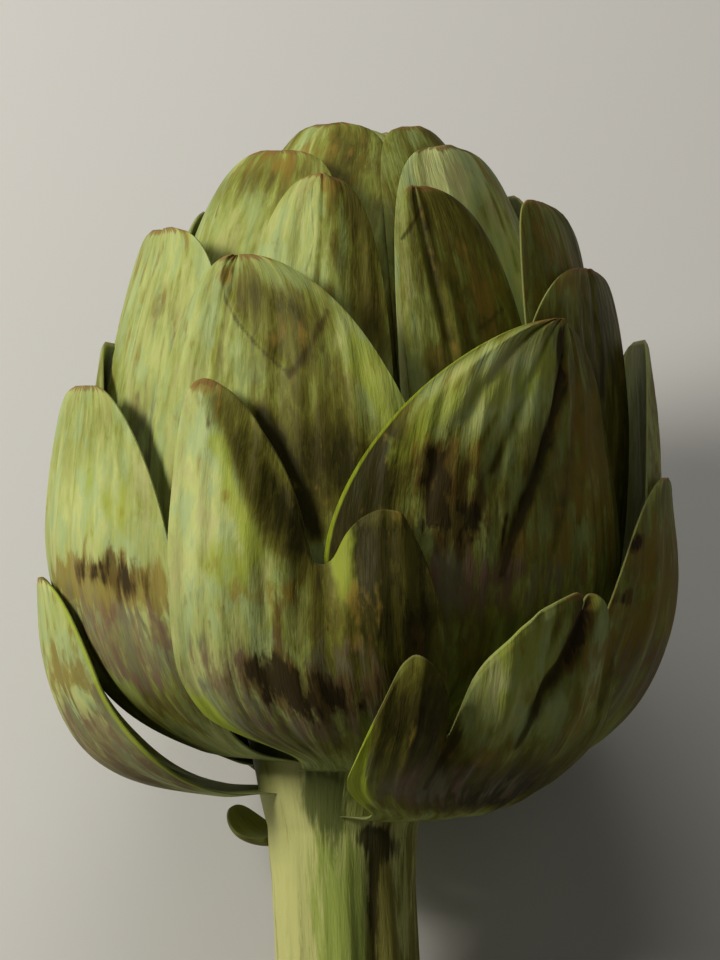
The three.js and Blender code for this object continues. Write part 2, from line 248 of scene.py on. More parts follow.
def grid_place(leaf, a, v):
    """Share p of the spine and side position u of the grid point (a, v)."""
    if "lobes" in leaf:
        reach = through(leaf["lobes"], a)
        low = 2 * v * LEVEL_PART
        high = LEVEL_PART + (2 * v - 1) * (reach - LEVEL_PART)
        return np.where(v < 0.5, low, high), a
    p = TIP_END * (v - 0.055 * np.sin(2 * np.pi * v))
    left, right = margin(leaf, p, -1), margin(leaf, p, 1)
    return p, left + (right - left) * (a + 1) / 2


def blade_frame(leaf, a, v):
    """Everything about the grid point (a, v) that doesn't depend on relief: share p, side position u,
    azimuth, the spine's point and normal there, the roll off the layer and the thickness."""
    line, normal, share, length = spine(leaf)
    p, u = grid_place(leaf, a, v)
    columns = (*line.T, *normal.T)
    radius, h, normal_r, normal_h = (np.interp(p, share, column) for column in columns)
    base = leaf.get("base", 0.5)
    half = leaf["half"] * (base + (1 - base) * smooth(p, 0, leaf.get("wide", 0.5)))
    turn = leaf.get("twist", 0) * (1 - smooth(p, 0, 0.5))
    azimuth = np.radians(leaf["azimuth"] + turn) + u * half / np.maximum(radius, 10)
    azimuth -= leaf.get("cutL", 0) * np.minimum(u, 0) * half / 20 * (1 - smooth(p, 0.1, 0.32))
    lean = np.where(u < 0, leaf.get("leanL", 0), leaf.get("leanR", 0))
    roll = (
        leaf.get("roll", 0) * np.abs(u) ** 2.5 * smooth(p, 0.15, 0.6)
        + lean * smooth(np.abs(u)) * smooth(p, 0.3, 0.75)
        - leaf.get("curl", 0) * smooth(p, 0.6, 1) ** 1.5
    )
    middle = leaf.get("thick", 0.95 + 0.03 * leaf["layer"])
    root = middle if "path" in leaf else min(middle, 0.75 + 0.02 * max(leaf["layer"], 0))
    full = root + (middle - root) * smooth(p, 0.12, 0.4)
    thick = EDGE_THICK + (full - EDGE_THICK) * (1 - a * a) * (1 - smooth(v, 0.6, 1))
    return dict(
        p=p, u=u, azimuth=azimuth, radius=radius, h=h, normal_r=normal_r, normal_h=normal_h,
        roll=roll, thick=thick, half=half, length=length,
    )


def blade_point(at, off):
    """Head-frame points of a blade pushed out along its normal by off."""
    r = at["radius"] + at["normal_r"] * off
    return np.stack(
        [r * np.sin(at["azimuth"]), -r * np.cos(at["azimuth"]), at["h"] + at["normal_h"] * off], axis=-1
    )


# %% [markdown]
# ## The bracts, one by one
#
# Each line gives a bract's azimuth, the height of its tip, its half width and its layer, and then what
# is its own. The outline has a peak (the tip's side position), shoulders (the shares where the margins
# start to close), a roundness, and a narrower base that is wide from some share on. The spine has a
# seat (the layer it grows from), droop, belly and upright part. Roll, lean and curl bend the face off
# its layer by some millimetres. Twist turns the foot by some degrees, and cutL trims its left side. The
# visible front ones are all different, and the hidden back follows the same spiral.

# %% Loose outer bracts


def leaf(label, azimuth, tip, half, layer, **shape):
    """One bract as a plain dictionary: its node's name, its label and its measures."""
    name = "bract_" + label
    return dict(name=name, label=label, azimuth=azimuth, tip=tip, half=half, layer=layer, **shape)


def ring(label, tip, half, places, **shape):
    """Several alike at the given (azimuth, layer) places."""
    return [leaf(f"{label}_{k + 1}", az, tip, half, la, **shape) for k, (az, la) in enumerate(places)]


# Outlines of the two split bracts: side positions and the share of the spine reached there.
FRONT_SPLIT = [
    [-1, 0.7], [-0.96, 0.91], [-0.88, 0.98], [-0.77, 1], [-0.64, 0.985], [-0.48, 0.95],
    [-0.27, 0.878], [-0.06, 0.775], [0.03, 0.69], [0.08, 0.65], [0.14, 0.642], [0.21, 0.65],
    [0.33, 0.704], [0.45, 0.735], [0.6, 0.75], [0.72, 0.745], [0.81, 0.71], [0.9, 0.66], [1, 0.55],
]
RIGHT_SPLIT = [
    [-1, 0.44], [-0.94, 0.59], [-0.86, 0.71], [-0.75, 0.83], [-0.68, 0.85], [-0.58, 0.826],
    [-0.48, 0.77], [-0.41, 0.71], [-0.35, 0.58], [-0.31, 0.7], [-0.27, 0.78], [-0.13, 0.865],
    [0.13, 0.95], [0.33, 0.99], [0.42, 1], [0.465, 0.985], [0.5, 0.945], [0.535, 0.98], [0.6, 0.995],
    [0.66, 0.975], [0.74, 0.93], [0.85, 0.84], [1, 0.64],
]

leaves = [
    leaf("low_left", -85, 41, 19, 15.2, seat=14.5, droop=8.5, belly=0.7, upright=0.7, base=0.45,
         round=3.2, shoulderL=0.66, shoulderR=0.72, roll=-2.6, leanR=-0.6),
    leaf("low_right", 29, 39.5, 24.5, 15.5, droop=7, belly=0.6, wide=0.75, twist=22,
         thick=2.0, lobes=RIGHT_SPLIT),
    leaf("front_split", -10.5, 72, 21.5, 13.9, seat=13, twist=6, wide=0.45, thick=2.2,
         curl=2, cutL=0.45, lobes=FRONT_SPLIT),
    leaf("right_low", 77, 57, 25, 14.5, droop=4, belly=0.43, thick=2.2, round=2.4, base=0.33),
    leaf("rest", 180, 46, 25, 15.3, thick=2.4, round=2.2, base=0.36),
    *ring("back_low", 47, 22, [(139, 13.85), (-142, 13.55)], round=2.2, base=0.3),
]
print("outer bracts:", len(leaves))

# %% Bracts of the waist
leaves += [
    leaf("left_big", -66, 71.5, 25, 12.5, peak=-0.1, thick=2.0, base=0.4, curl=0.6, roundL=3.2,
         shoulderL=0.62, leanL=2.9),
    leaf("right_back", 97, 79.3, 22, 13.0, round=3),
    leaf("left_back", -98, 79, 24, 10.05, round=2.6),
    *ring("back_second", 66, 25, [(150, 11.15), (-170, 12.35), (-118, 11.2)], round=2.2),
    leaf("right_big", 32.5, 81.5, 29.5, 10.45, peak=0.42, shoulderL=0.53, shoulderR=0.62, roundL=1.75,
         thick=1.7),
    leaf("right_mid", 70, 89.8, 26, 9.0, roundL=2.6, roundR=2.7, shoulderL=0.55, shoulderR=0.7,
         curl=-0.8, leanR=4.2),
    leaf("centre", -17, 91.5, 25, 9.25, peak=-0.35, roundL=2.3, roundR=1.9, shoulderR=0.45, curl=1.6),
    leaf("left_mid", -71, 96.5, 25, 8.1, roundL=2.6, roundR=3.2, shoulderL=0.6, shoulderR=0.7,
         curl=1, leanL=2.4),
    *ring("back_third", 80, 26, [(155, 9.95), (-145, 8.9)], round=2.2),
    *ring("back_fourth", 93, 24, [(125, 6.55), (178, 7.65), (-128, 6.45)], round=2.2),
]
print("with the waist:", len(leaves))

# %% Bracts of the crown
leaves += [
    leaf("crown_far_right", 81, 99.6, 23, 7.6, peak=-0.7, roundL=2.6, shoulderL=0.75, leanR=2,
         curl=-1.8),
    leaf("crown_right", 36, 102.2, 13, 5.1, peak=-0.55, round=2.4, shoulderL=0.7),
    leaf("crown_left", -14, 104, 13.5, 4.3, round=2.4),
    leaf("crown_inner_right", 50, 109.3, 20.5, 3.8, peak=-0.15, roundL=2.4, roundR=3, shoulderR=0.65,
         leanR=1.6),
    leaf("crown_far_left", -45, 108.3, 20, 3.25, roundL=2.6, roundR=3.2, shoulderR=0.55, leanL=1.9),
    *ring("back_crown", 103, 20, [(112, 5.4), (160, 4.3), (-150, 5.4)], round=2.4),
    leaf("back_crown_4", -102, 100, 20, 4.3, round=2.4, leanR=1.9),
    *ring("back_inner", 109, 16, [(106, 2.1), (145, 3.2), (-165, 2.1), (-120, 3.2), (-80, 1.9)],
          round=2.4),
    leaf("top_left", -22, 113, 17, 0.85, peak=-0.08, roundL=3.2, roundR=2.8),
    leaf("top_right", 41, 112.4, 13.5, 2.0, round=2.8),
    *ring("back_top", 112.5, 15, [(85, 0.65), (135, -0.4), (-170, 0.65), (-110, -0.4)], round=2.6),
    leaf("stem_scale", -125, 3.1, 5.5, LAST_LAYER, thick=1.6, base=0.6,
         path=[[12.6, -1.5], [16, -2.5], [20, -0.6], [21.4, 3.1]]),
]
missing = {item["name"] for item in leaves} ^ {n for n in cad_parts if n.startswith("bract_")}
print(len(leaves), "bracts; names that don't match:", missing)

# %% [markdown]
# ## Relief
#
# A real bract isn't smooth. Its fibres run from base to tip as soft ribs, it dips and swells a little
# across its face, and its margins stand up as a thin pale lip. Each bract takes its ribs from its own
# seeded draw, so no two are alike and every run gives the same head.

# %% Ribs and swells
# Each: how many waves cross a bract 40 mm wide, and their height in mm.
RIB_WAVES = ((3.2, 0.30), (5.3, 0.20), (8.6, 0.13), (14.5, 0.075))
SWELL = 0.22  # height in mm


def ribs(leaf, a, side, p, seed):
    """Sum of cosines across the blade, stronger on outer bracts. Each has its own width, strength and
    slant, and all fade out at the base, the margins and the tip."""
    draw = np.random.default_rng(seed)
    wide = leaf["half"] / 20
    height = np.zeros_like(a)
    strong = 0.6 + 0.055 * max(leaf["layer"], 0)
    for count, strength in RIB_WAVES:
        phase = draw.uniform(0, 2 * np.pi)
        slant = draw.uniform(-0.9, 0.9)
        swell = 0.6 + 0.4 * np.sin(draw.uniform(1.5, 3.5) * np.pi * p + draw.uniform(0, 6))
        wave = np.cos(count * wide * np.pi * side + phase + slant * np.pi * p)
        height += strong * strength * swell * wave
    fade = smooth(p, 0.05, 0.35) * (1 - 0.8 * smooth(p, 0.8, 1)) * (1 - smooth(np.abs(a), 0.82, 1))
    return height * fade


def swells(a, p, seed):
    """Slow waves over the face, across and along."""
    draw = np.random.default_rng(seed + 500)
    x, y = draw.uniform(0, 6, 2)
    return SWELL * np.sin(2.3 * a + x) * np.sin(5.0 * p + y) * smooth(p, 0.1, 0.4)


# %% Folds
FOLD_SHARE = 0.7  # the share of the spine at which a fold's side position is given
FOLD_KINDS = dict(
    valley=lambda off: np.exp(-off * off),
    right=smooth,
    left=lambda off: smooth(-off),
    ridge=lambda off: np.clip(off, 0, 1),
)
# Each fold: side position, its slope along the blade, width, depth in mm, shares p0 and p1.
FOLDS = dict(
    front_split=dict(
        valley=[(0.12, 0, 0.26, 2.4, 0.34, 0.62), (-0.3, -0.6, 0.05, 0.35, 0.4, 0.6)],
        ridge=[(-0.27, -1.9, 0.26, 2.6, 0.56, 0.72)], right=[(0.72, 0, 0.28, 0.9, 0.35, 0.7)],
    ),
    low_right=dict(
        valley=[(-0.36, 0, 0.14, 1.5, 0.3, 0.6), (0.16, 1.4, 0.06, 1.3, 0.5, 0.8),
            (0.02, 0.5, 0.05, 0.5, 0.5, 0.8)],
        right=[(-0.68, 0, 0.3, 0.7, 0.4, 0.8), (0.5, 0.6, 0.3, 1, 0.4, 0.8)],
    ),
    right_big=dict(
        ridge=[(0.08, 0.9, 0.4, 1.5, 0.5, 0.8)],
        valley=[(0.08, 0.9, 0.045, 1, 0.45, 0.7), (-0.2, 0.5, 0.05, 0.4, 0.45, 0.7),
            (-0.55, 0.3, 0.07, 0.5, 0.5, 0.75), (0.42, 0.6, 0.06, 0.5, 0.45, 0.7)],
        left=[(-0.82, 0.2, 0.18, 0.8, 0.55, 0.8)],
    ),
    centre=dict(
        valley=[(-0.52, 0.2, 0.05, 0.5, 0.5, 0.75), (-0.36, 0.1, 0.05, 0.45, 0.5, 0.75)],
        right=[(0.52, -4.2, 0.1, 0.6, 0.74, 0.8)],
    ),
    crown_right=dict(
        valley=[(-0.42, -0.6, 0.07, 0.7, 0.5, 0.75)], right=[(-0.4, -0.6, 0.3, 0.7, 0.5, 0.8)],
    ),
    crown_left=dict(right=[(0.3, 0, 0.45, 1, 0.5, 0.8)], valley=[(0.12, 0, 0.06, 0.4, 0.5, 0.8)]),
    right_mid=dict(valley=[(-0.2, 0.5, 0.08, 0.5, 0.5, 0.8)], right=[(0.3, 0, 0.3, 0.5, 0.5, 0.8)]),
    left_mid=dict(valley=[(-0.1, 0.3, 0.12, 0.4, 0.5, 0.8)]),
    crown_inner_right=dict(right=[(0.2, 0, 0.5, 0.8, 0.6, 0.9)], left=[(0, 0, 0.9, 1.2, 0.6, 0.9)]),
    left_big=dict(right=[(0.35, -0.2, 0.5, 0.6, 0.5, 0.8)]),
)


def folds(label, side, p):
    """Creases of one bract. A valley is a Gaussian trough along a slanted line; right or left drops the
    face softly from that line on towards that margin, and a ridge drops it to the right of a sharp bend.
    All grow from share p0 of the spine to p1."""
    drop = np.zeros_like(side)
    for kind, rows in FOLDS.get(label, {}).items():
        for middle, slope, width, depth, p0, p1 in rows:
            off = (side - middle - slope * (p - FOLD_SHARE)) / width
            drop -= depth * FOLD_KINDS[kind](off) * smooth(p, p0, p1)
    return drop


print(len(FOLDS), "folded bracts")

# %% [markdown]
# ## From grid to closed mesh
#
# A blade needs an outer face, an inner face and a rim round them. The columns crowd towards the
# margins, where the blade thins quickly, so light catches a soft lip instead of a sharp corner. The
# mesh keeps a map of its own: U runs across the blade and V along it, both in millimetres, for streaks
# that follow the fibres.

# %% Mesh builder


def add_piece(name, points, faces, uv, marks):
    """A smooth mesh object at the origin from an array of points (m) and a list of faces, with one
    value per point for the map 'flow' and for each named mark."""
    mesh = bpy.data.meshes.new(name)
    mesh.from_pydata(points.tolist(), [], faces)
    layer = mesh.uv_layers.new(name="flow")
    corner = np.empty(len(mesh.loops), np.int32)
    mesh.loops.foreach_get("vertex_index", corner)
    layer.data.foreach_set("uv", uv[corner].astype(np.float32).ravel())
    for key, values in marks.items():
        attribute = mesh.attributes.new(key, "FLOAT", "POINT")
        attribute.data.foreach_set("value", values.astype(np.float32))
    mesh.polygons.foreach_set("use_smooth", np.ones(len(mesh.polygons), bool))
    mesh.update()
    return add_object(name, mesh)


def blade_faces(na, nv):
    """Quads of the outer grid, the inner grid turned over, and the strip that joins their edges."""
    index = np.arange((na + 1) * (nv + 1)).reshape(na + 1, nv + 1)
    quad = np.stack([index[:-1, :-1], index[1:, :-1], index[1:, 1:], index[:-1, 1:]], -1).reshape(-1, 4)
    rim = np.concatenate([index[:-1, 0], index[-1, :-1], index[:0:-1, -1], index[0, :0:-1]])
    after = np.roll(rim, -1)
    inner = index.size
    side = np.stack([after, rim, rim + inner, after + inner], -1)
    return np.concatenate([quad, quad[:, ::-1] + inner, side])


# %% [markdown]
# ## Marks that belong to a bract
#
# Sun, cold and handling mark each bract differently: brown bruises, a purple blush low on the outer
# ones, warm stains, pale waxy or deep green places. Some of the dark is painted shade: along creases,
# on flanks turned away from the light, and where a neighbouring bract casts its shadow. They are all
# painted as soft ovals and soft lines on the blade's own grid, each with its place, size and strength.
# The material breaks them up later.

# %% Ovals and lines


def spots(a, p, ovals):
    """Sum of soft ovals (a, p, half size across, half size along, strength), each a Gaussian."""
    total = np.zeros_like(a)
    for at_a, at_p, size_a, size_p, strength in ovals:
        total += strength * np.exp(-(((a - at_a) / size_a) ** 2) - ((p - at_p) / size_p) ** 2)
    return total


def lines(leaf, a, p, segments, join=np.maximum):
    """Soft lines from (a, p) to (a, p), each with a half width in mm and a strength: a Gaussian of the
    distance to the segment, measured in mm on the blade. Where lines cross, join picks the value."""
    total = np.zeros_like(a)
    for a0, p0, a1, p1, width, strength in segments:
        way = np.array([(a1 - a0) * leaf["half"], (p1 - p0) * leaf["tip"]])
        x, y = (a - a0) * leaf["half"], (p - p0) * leaf["tip"]
        t = np.clip((x * way[0] + y * way[1]) / (way @ way), 0, 1)
        away = np.hypot(x - t * way[0], y - t * way[1])
        total = join(total, strength * np.exp(-((away / width) ** 2)))
    return total


# %% Marks of the outer bracts
# depth is how dark the green is, and deep adds to it: mostly the green's own tone, but some ovals and
# lines are painted shade, where a neighbouring bract casts its shadow or a flank turns from the light.
# lip is how pale the left and right margins are, and rim adds to that: a side, a width, a share of the
# spine, how far it spreads there and a strength. neck is the share of the length with the neck's
# colour. crease lines are painted shade along the folds. The rest are stains: ovals, or lines where the
# name ends in that.
MARKS = {}


def mark_bract(label, **marks):
    """Keep the marks of the bract with this label."""
    MARKS[label] = marks


mark_bract(
    "low_left",
    depth=0.17, lip=(0.2, 0.8), warm=[(0.5, 0.74, 0.8, 0.1, 1)], lime=[(0.8, 0.9, 0.6, 0.06, 0.4)],
    blush=[(0.6, 0.57, 1.2, 0.12, 1.1), (0.3, 0.36, 1.4, 0.14, 1.3)],
    deep=[(0.2, 0.27, 1.4, 0.15, 0.25)],
)
mark_bract(
    "low_right",
    depth=0.4, lip=(1.3, 0.1), neck=0.04, rim=[(-1, 0.15, 0.65, 0.2, 1.6), (-1, 0.22, 0.43, 0.08, 2)],
    deep=[(0.03, 0.78, 0.3, 0.15, -0.58), (-0.66, 0.7, 0.25, 0.14, 0.62),
        (-0.5, 0.55, 0.3, 0.08, 0.15), (0.2, 0.42, 0.8, 0.12, 0.75), (0.66, 0.78, 0.12, 0.16, -0.36),
        (-0.28, 0.7, 0.06, 0.1, -0.1)],
    deep_lines=[(0.5, 0.96, 0.4, 0.87, 1.8, 0.6), (0.4, 0.87, 0.18, 0.7, 1.2, 0.4),
        (0.3, 0.97, 0.1, 0.72, 0.8, 0.25), (0.05, 0.85, -0.1, 0.65, 0.8, 0.2)],
    lime=[(0, 0.85, 0.25, 0.1, 1), (-0.1, 0.7, 0.15, 0.06, 0.6)],
    warm=[(0.62, 0.75, 0.2, 0.2, 0.8), (0, 0.62, 0.3, 0.08, 0.6)],
    bruise_lines=[(0.52, 0.965, 0.44, 0.9, 1.6, 1.5), (0.44, 0.9, 0.36, 0.83, 1.3, 1.2)],
    crease_lines=[(0.4, 0.9, 0.24, 0.76, 0.9, 1.1), (0.24, 0.76, 0.1, 0.6, 0.7, 0.9),
        (-0.3, 0.62, -0.4, 0.45, 0.8, 0.9)],
    blush=[(-0.4, 0.46, 0.5, 0.1, 0.9), (0.5, 0.45, 0.4, 0.1, 0.35)],
)
# On front_split, the first deep lines darken the left lobe's right flank as painted shade.
mark_bract(
    "front_split", depth=0.27, lip=(0.2, 0.1), neck=0.2, rim=[(-1, 0.3, 0.25, 0.11, 2.2)],
    deep=[(-0.82, 0.72, 0.3, 0.28, -0.2), (0.57, 0.58, 0.27, 0.14, 0.78),
        (0.9, 0.52, 0.14, 0.14, 0.35), (0, 0.25, 1.2, 0.09, 0.35), (-0.15, 0.44, 0.45, 0.1, 0.14),
        (-0.25, 0.58, 0.12, 0.05, -0.14), (0.5, 0.42, 0.4, 0.1, 0.25)],
    deep_lines=[(-0.68, 0.96, -0.17, 0.68, 1.3, 0.27), (-0.58, 0.94, -0.08, 0.68, 1.5, 0.2),
        (-0.42, 0.89, 0, 0.68, 1.5, 0.16), (-0.25, 0.83, 0.02, 0.7, 1, 0.12),
        (-0.5, 0.72, -0.3, 0.55, 0.7, 0.15)],
    lime=[(-0.5, 0.66, 0.24, 0.07, 0.7), (0.27, 0.68, 0.08, 0.06, 1.1), (0.3, 0.62, 0.09, 0.08, 0.8)],
    lime_lines=[(-0.62, 0.88, -0.3, 0.66, 1.6, 0.9)],
    warm=[(-0.15, 0.61, 0.3, 0.06, 0.3), (0.4, 0.57, 0.2, 0.06, 0.45), (-0.5, 0.56, 0.2, 0.05, 0.2),
        (-0.77, 0.985, 0.14, 0.025, 1.4)],
    bruise=[(-0.3, 0.44, 0.17, 0.07, 0.75), (-0.1, 0.42, 0.22, 0.08, 0.9),
        (0.15, 0.37, 0.3, 0.07, 0.6), (0.72, 0.48, 0.2, 0.1, 0.6), (0.42, 0.42, 0.2, 0.07, 0.45)],
    bruise_lines=[(-0.78, 0.965, -0.7, 0.91, 1.3, 0.62), (-0.33, 0.58, -0.32, 0.42, 0.9, 0.45),
        (-0.14, 0.59, -0.16, 0.38, 1, 0.55), (-0.5, 0.57, -0.45, 0.42, 0.8, 0.5),
        (0, 0.62, -0.04, 0.4, 0.9, 0.65), (0.2, 0.55, 0.16, 0.38, 1, 0.6),
        (-0.64, 0.54, -0.55, 0.42, 0.8, 0.5), (0.5, 0.54, 0.42, 0.38, 0.9, 0.6)],
    crease_lines=[(0.14, 0.64, 0.13, 0.6, 0.5, 0.7)],
    blush=[(-0.5, 0.44, 0.5, 0.08, 0.9), (0.3, 0.42, 0.6, 0.09, 0.8), (-0.1, 0.31, 0.8, 0.06, 0.7)],
)
mark_bract(
    "right_low", depth=0.52, warm=[(-0.3, 0.74, 1.1, 0.2, 1.1)], deep=[(0, 0.9, 1.2, 0.06, -0.08)],
    bruise=[(-0.97, 0.855, 0.14, 0.022, 1.4), (-0.88, 0.735, 0.12, 0.02, 1.3),
        (-0.75, 0.8, 0.2, 0.03, 0.4)],
    blush=[(0.1, 0.56, 1, 0.1, 1)],
)
print("outer bracts marked:", len(MARKS))

# %% Marks of the waist
mark_bract(
    "left_big", depth=0.2,
    deep=[(0.4, 0.33, 1.5, 0.11, 0.4), (0.2, 0.92, 0.6, 0.08, 0.14), (0.3, 0.76, 0.5, 0.08, -0.1)],
    warm=[(0.5, 0.585, 0.7, 0.055, 1.5), (-0.1, 0.6, 0.5, 0.04, 1)],
    lime=[(0.35, 0.76, 0.6, 0.09, 0.5)],
    bruise=[(0.42, 0.625, 0.34, 0.035, 1), (0.62, 0.585, 0.25, 0.035, 0.7),
        (0.1, 0.61, 0.15, 0.02, 0.5)],
    blush=[(0.1, 0.5, 1.2, 0.08, 1.05), (0.6, 0.43, 0.8, 0.06, 0.9)],
)
mark_bract("right_back", depth=0.2, warm=[(0, 0.8, 1.2, 0.3, 0.9)])
mark_bract("left_back", depth=0.4, warm=[(0, 0.8, 1, 0.1, 0.6)])
# On right_big, the strong deep oval at the left margin is the painted shadow of front_split's left lobe;
# the deep and crease lines along its ridge are painted shade of the crease.
mark_bract(
    "right_big", depth=0.47, lip=(0.8, 0.15),
    deep=[(-0.42, 0.87, 0.4, 0.08, -0.56), (-0.9, 0.88, 0.2, 0.06, -0.2),
        (-0.93, 0.66, 0.2, 0.13, 0.92), (-0.35, 0.45, 0.5, 0.12, 0.1), (0.3, 0.38, 0.8, 0.1, 0.04),
        (0.62, 0.7, 0.3, 0.18, -0.14), (-0.2, 0.78, 0.25, 0.05, -0.14)],
    deep_lines=[(0.2, 0.96, 0.26, 0.87, 2.2, 0.7), (0.26, 0.87, 0.14, 0.76, 1.7, 0.55),
        (0.14, 0.76, 0.03, 0.64, 1.2, 0.5), (0.03, 0.64, -0.07, 0.5, 1.1, 0.5),
        (0.45, 0.8, 0.25, 0.55, 0.9, 0.3), (-0.1, 0.86, -0.22, 0.7, 0.8, 0.3),
        (-0.32, 0.8, -0.4, 0.66, 0.8, 0.25), (0.62, 0.86, 0.45, 0.6, 0.8, 0.25),
        (0.35, 0.92, 0.36, 0.75, 0.8, -0.15)],
    lime=[(-0.75, 0.78, 0.14, 0.08, 0.8), (-0.4, 0.86, 0.35, 0.06, 0.9), (0, 0.9, 0.2, 0.05, 0.7)],
    bruise=[(-0.6, 0.73, 0.15, 0.05, 0.7), (-0.47, 0.66, 0.2, 0.07, 0.9),
        (-0.34, 0.59, 0.22, 0.06, 0.95)],
    bruise_lines=[(0.14, 0.965, 0.27, 0.88, 1.5, 1.4), (0.24, 0.85, 0.16, 0.79, 0.8, 0.9),
        (-0.08, 0.61, -0.1, 0.54, 0.9, 1)],
    crease_lines=[(0.1, 0.97, 0.26, 0.87, 1, 1.4), (0.26, 0.87, 0.14, 0.76, 0.9, 1.3),
        (0.14, 0.76, 0.04, 0.64, 0.7, 1.2), (0.04, 0.64, -0.08, 0.5, 0.7, 1.1)],
    blush=[(-0.35, 0.51, 0.3, 0.05, 1), (0.1, 0.47, 0.6, 0.06, 0.7)],
    warm=[(0.6, 0.72, 0.35, 0.2, 1.2), (-0.5, 0.75, 0.3, 0.05, 0.6), (0, 0.55, 0.4, 0.08, 0.5)],
)
mark_bract(
    "right_mid",
    depth=0.72, deep=[(-0.8, 0.95, 0.4, 0.05, -0.3)], deep_lines=[(0.1, 0.95, -0.1, 0.75, 0.8, 0.3)],
    warm=[(-0.7, 0.97, 0.5, 0.04, 0.8), (0.6, 0.85, 0.3, 0.2, 0.5)],
)
# On centre, the first deep line and the deep oval at (0.3, 0.6) paint the shadow of front_split's left
# lobe; its crease lines are painted shade.
mark_bract(
    "centre", depth=0.33, lip=(0.1, 0.3),
    deep=[(-0.8, 0.8, 0.32, 0.3, -0.08), (0, 0.92, 0.35, 0.045, 0.28), (0.35, 0.885, 0.3, 0.04, 0.28),
        (0.2, 0.83, 0.22, 0.03, 0.2), (0.4, 0.72, 0.5, 0.12, 0.34), (0.3, 0.6, 0.4, 0.07, 0.6),
        (0.95, 0.73, 0.16, 0.09, -0.5), (0.8, 0.8, 0.2, 0.08, -0.16)],
    deep_lines=[(-0.03, 0.7, 0.25, 0.49, 1.5, 0.75), (-0.55, 0.9, -0.52, 0.6, 1, -0.14),
        (-0.64, 0.9, -0.62, 0.6, 0.5, 0.16), (-0.4, 0.86, -0.42, 0.6, 0.7, 0.18),
        (-0.25, 0.8, -0.28, 0.6, 0.6, 0.12)],
    lime=[(0.95, 0.73, 0.22, 0.08, 1.5), (0.85, 0.82, 0.15, 0.06, 0.6)],
    crease_lines=[(-0.6, 0.975, -0.43, 0.92, 0.8, 0.6), (-0.43, 0.92, 0.22, 0.77, 0.7, 0.68),
        (0.22, 0.77, 0.62, 0.86, 1, 0.75), (0.62, 0.86, 0.8, 0.89, 0.7, 0.6),
        (0.36, 0.79, 0.62, 0.84, 1.6, 0.5)],
    bruise=[(-0.3, 0.97, 0.3, 0.012, 0.5)],
    warm=[(-0.5, 0.965, 0.3, 0.025, 0.9), (0.3, 0.85, 0.3, 0.05, 0.5)],
)
mark_bract(
    "left_mid", depth=0.28, deep=[(0.2, 0.8, 0.8, 0.2, -0.04), (-0.6, 0.65, 0.5, 0.15, 0.08)],
    warm=[(-0.3, 0.9, 0.8, 0.1, 0.35)],
    blush=[(0.5, 0.6, 0.6, 0.14, 0.55), (0.5, 0.82, 0.3, 0.08, 0.4)],
)
print("with the waist:", len(MARKS))

# %% Marks of the crown
mark_bract("crown_far_right", depth=0.54, warm=[(-0.3, 0.88, 0.7, 0.12, 0.8)])
mark_bract(
    "crown_right", depth=0.6, lip=(0.2, 0.1), deep=[(-0.9, 0.8, 0.13, 0.25, -0.36)],
    deep_lines=[(-0.45, 0.93, -0.42, 0.7, 1, 0.25), (0, 0.9, -0.05, 0.7, 0.8, -0.12)],
    warm=[(0.2, 0.8, 0.5, 0.16, 0.7)],
    crease_lines=[(-0.95, 0.89, -0.5, 0.95, 0.6, 0.8), (0.1, 0.72, 0.6, 0.76, 0.8, 0.6)],
)
mark_bract(
    "crown_left", depth=0.3, deep=[(0.75, 0.8, 0.35, 0.3, 0.4), (-0.6, 0.85, 0.5, 0.25, -0.12)],
    deep_lines=[(0.35, 0.96, 0.2, 0.6, 1.2, 0.25), (0.1, 0.9, 0.05, 0.6, 0.8, 0.2),
        (0.52, 0.95, 0.45, 0.55, 0.7, -0.15)],
    warm=[(0.3, 0.975, 0.4, 0.02, 0.6)],
    crease_lines=[(-0.2, 0.975, 0.02, 0.86, 0.5, 0.55), (0.02, 0.86, -0.08, 0.8, 0.5, 0.5)],
)
mark_bract(
    "crown_inner_right", depth=0.12,
    deep=[(-0.4, 0.95, 0.5, 0.07, -0.3), (0.6, 0.88, 0.35, 0.12, 0.24), (0, 0.87, 0.12, 0.06, 0.25)],
    deep_lines=[(0.3, 0.92, 0.28, 0.75, 0.5, 0.3)], warm=[(0.6, 0.9, 0.4, 0.08, 0.7)],
)
mark_bract(
    "crown_far_left", depth=0.38, deep=[(0.3, 0.95, 0.8, 0.05, 0.25), (-0.5, 0.84, 0.5, 0.06, -0.14)],
    warm=[(0.2, 0.97, 1, 0.03, 0.9)], crease_lines=[(-0.75, 0.95, -0.55, 0.86, 0.7, 0.6)],
)
mark_bract(
    "top_left", depth=0.5, deep=[(-0.4, 0.95, 0.3, 0.1, -0.22), (0.35, 0.93, 0.3, 0.1, 0.25)],
    warm=[(0.2, 0.93, 0.7, 0.08, 0.5)],
)
mark_bract(
    "top_right", depth=0.55, deep=[(-0.1, 0.97, 0.3, 0.04, -0.25)], warm=[(0.2, 0.9, 0.6, 0.08, 0.7)],
)
print(len(MARKS), "bracts with marks of their own")

# %% Paint a bract
# Painted shade: folds darken the green, as shade would lie in them.
FOLD_SHADE = 0.13  # depth added for each mm that a fold drops
LIP_WIDTH = 1.1  # mm of pale margin
LIP_PALE = (0.12, 0.12)  # how pale the left and right margins are, where a bract doesn't say
FOOT_END = 0.1  # share of the length that takes the neck's colour, likewise
TIP_START = 0.965  # share of the length from which a tip may be dry


